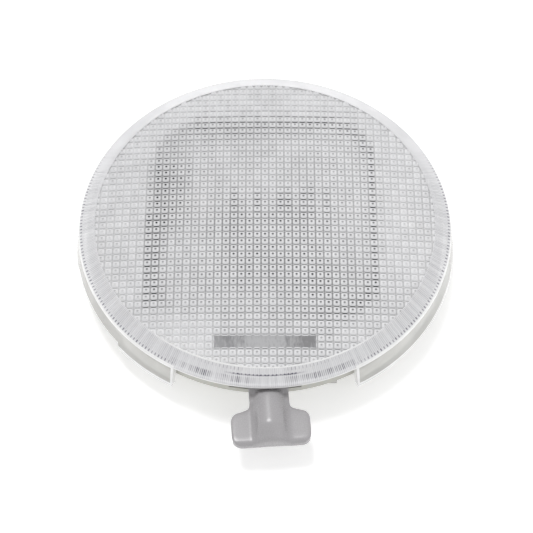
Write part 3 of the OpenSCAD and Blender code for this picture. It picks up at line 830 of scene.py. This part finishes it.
@dataclass
class SoftLever:
    """The switch lever with the round edges and fillets of a moulding."""

    voxel: float = 0.28 * MM
    stands_at: float = 3.7
    pivot_r: float = 38.0 * MM
    rib_half: float = 3.7 * MM
    fillet: float = 1.3 * MM
    pad_start: float = 18.5 * MM
    pad_low: float = 8.7 * MM
    pad_h: float = 5.0 * MM
    sink: float = 1.3 * MM
    crown: float = 1.1 * MM
    wall_at: float = 14.6 * MM
    outer_y: float = -53.0 * MM
    passes: int = 5
    outer_passes: int = 12

    def build(self, finish: bpy.types.Material) -> None:
        """Makes the soft copy in place of the plain lever.

        Args:
            finish: the lever's material.
        """
        source = frame["nodes"]["switch_lever"]
        mesh = bmesh.new()
        mesh.from_mesh(source.data)
        bmesh.ops.remove_doubles(mesh, verts=mesh.verts[:], dist=1e-7)
        bmesh.ops.recalc_face_normals(mesh, faces=mesh.faces[:])
        data = bpy.data.meshes.new("lever_coarse")
        mesh.to_mesh(data)
        mesh.free()
        rough = bpy.data.objects.new("lever_coarse", data)
        bpy.context.scene.collection.objects.link(rough)
        remesh = rough.modifiers.new("voxels", "REMESH")
        remesh.mode = "VOXEL"
        remesh.voxel_size = self.voxel
        graph = bpy.context.evaluated_depsgraph_get()
        soft = bmesh.new()
        soft.from_mesh(rough.evaluated_get(graph).to_mesh())
        bpy.data.objects.remove(rough)
        for _ in range(self.passes):
            bmesh.ops.smooth_vert(
                soft, verts=soft.verts[:], factor=0.5, use_axis_x=True, use_axis_y=True, use_axis_z=True)
        for vert in soft.verts:
            self.sink_wings(vert)
        outer = [v for v in soft.verts if v.co.y < self.outer_y]
        for _ in range(self.outer_passes):
            bmesh.ops.smooth_vert(
                soft, verts=outer, factor=0.5, use_axis_x=True, use_axis_y=True, use_axis_z=True)
        piece = make_object("lever_moulding", soft, Body.LEVER)
        piece.data.shade_smooth()
        piece.data.materials.append(finish)
        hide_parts("switch_lever")

    def sink_wings(self, vert: bmesh.types.BMVert) -> None:
        """Rounds the rib and lowers the finger pad beside it, so that the rib stands out."""
        turn = math.radians(self.stands_at)
        x, y = vert.co.x, vert.co.y + self.pivot_r
        aside = abs(x * math.cos(turn) + y * math.sin(turn))
        ahead = x * math.sin(turn) - y * math.cos(turn)
        wing = min(1.0, max(0.0, (aside - self.rib_half) / self.fillet))
        on_pad = min(1.0, max(0.0, (ahead - self.pad_start) / self.fillet))
        top = min(1.0, max(0.0, (vert.co.z - self.pad_low) / self.pad_h))
        past_wall = min(1.0, max(0.0, (ahead - self.wall_at) / self.fillet))
        round_rib = past_wall * min(1.0, aside / self.rib_half) ** 2
        vert.co.z -= (self.sink * wing * on_pad + self.crown * round_rib) * top


@dataclass
class InnerWorks:
    """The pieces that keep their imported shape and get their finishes."""

    finishes: dict[str, bpy.types.Material] = field(default_factory=dict)

    def build(self) -> None:
        """Dresses every node by the record's slots."""
        self.finishes = {
            "housing_plastic": MouldedPlastic("housing_moulding", (0.5, 0.5, 0.455), roughness=0.45).build(),
            "lever_plastic": MouldedPlastic(
                "lever_moulding", (0.375, 0.365, 0.375), 0.96, 0.26, grain_depth=0.004 * MM).build(),
            "white_enamel": Enamel("reflector_enamel", (0.85, 0.85, 0.83)).build(),
            "bulb_glass": ClearGlass("bulb_glass").build(),
            "plated_steel": SheetMetal("nickel_plate", (0.6, 0.6, 0.59)).build(),
            "sheet_brass": SheetMetal("spring_brass", (0.62, 0.48, 0.24)).build(),
        }
        for entry in frame["record"]["subparts"]:
            node = frame["nodes"][entry["node"]]
            finish = self.finishes.get(entry["material_slot"])
            if finish is None:
                continue
            for slot in node.material_slots:
                slot.material = finish
            log.info("%s: %s", entry["node"], finish.name)


@dataclass
class Studio:
    """Camera at the photograph's angle, soft lights and a pale floor."""

    target: Vector = field(default_factory=lambda: Vector((0.0, 0.0, 16.8 * MM)))
    elevation: float = 55.7
    distance: float = 551.0 * MM
    focal_px: float = 1891.0
    frame_px: float = 533.0
    centre_px: tuple[float, float] = (265.0, 224.0)
    sensor: float = 36.0

    def build(self) -> None:
        """Sets the camera, the lights, the world and the floor."""
        self.camera()
        self.lamp("key", (-0.16, 0.22, 1.0), 0.28, 4.8)
        self.lamp("fill", (0.6, -0.6, 0.7), 0.7, 0.9)
        self.lamp("back", (0.1, 0.9, 0.6), 0.6, 1.6)
        self.world()
        self.floor()
        bpy.context.scene.view_settings.view_transform = "Standard"

    def camera(self) -> None:
        """Places the camera; the shift puts the rim's centre where the photograph has it."""
        data = bpy.data.cameras.new("camera")
        data.sensor_width = self.sensor
        data.lens = self.sensor * self.focal_px / self.frame_px
        data.shift_x = (self.frame_px / 2 - self.centre_px[0]) / self.frame_px
        data.shift_y = -(self.frame_px / 2 - self.centre_px[1]) / self.frame_px
        data.clip_start = 0.01
        tilt = math.radians(self.elevation)
        view = bpy.data.objects.new("camera", data)
        view.location = self.target + Vector((0.0, -math.cos(tilt), math.sin(tilt))) * self.distance
        view.rotation_euler = (math.pi / 2 - tilt, 0.0, 0.0)
        bpy.context.scene.collection.objects.link(view)
        bpy.context.scene.camera = view

    def lamp(self, name: str, place: tuple[float, float, float], size: float, power: float) -> None:
        """Adds one square area light aimed at the object.

        Args:
            name: its name.
            place: where it stands, in metres.
            size: its side in metres.
            power: its power in watts.
        """
        data = bpy.data.lights.new(name, "AREA")
        data.size = size
        data.energy = power
        light = bpy.data.objects.new(name, data)
        light.location = place
        light.rotation_euler = (self.target - Vector(place)).to_track_quat("-Z", "Y").to_euler()
        bpy.context.scene.collection.objects.link(light)

    def world(self) -> None:
        """A plain pale surround."""
        world = bpy.data.worlds.new("surround")
        world.use_nodes = True
        world.node_tree.nodes["Background"].inputs["Color"].default_value = (1.0, 1.0, 1.0, 1.0)
        world.node_tree.nodes["Background"].inputs["Strength"].default_value = 0.6
        bpy.context.scene.world = world

    def floor(self) -> None:
        """A wide pale floor under the lamp, white to the camera and to reflections."""
        mesh = bmesh.new()
        bmesh.ops.create_grid(mesh, x_segments=8, y_segments=8, size=4.0)
        data = bpy.data.meshes.new("floor")
        mesh.to_mesh(data)
        mesh.free()
        floor = bpy.data.objects.new("floor", data)
        bpy.context.scene.collection.objects.link(floor)
        shader = Shader("floor_paper")
        shader.set(Base_Color=(0.92, 0.92, 0.92), Roughness=0.9, Emission_Color=(1.0, 1.0, 1.0), Emission_Strength=0.38)
        data.materials.append(shader.material)


def main() -> None:
    """Builds the studio and the lamp."""
    Studio().build()
    works = InnerWorks()
    works.build()
    SoftLever().build(works.finishes["lever_plastic"])
    PrismLens().build()


if __name__ == "__main__":
    main()
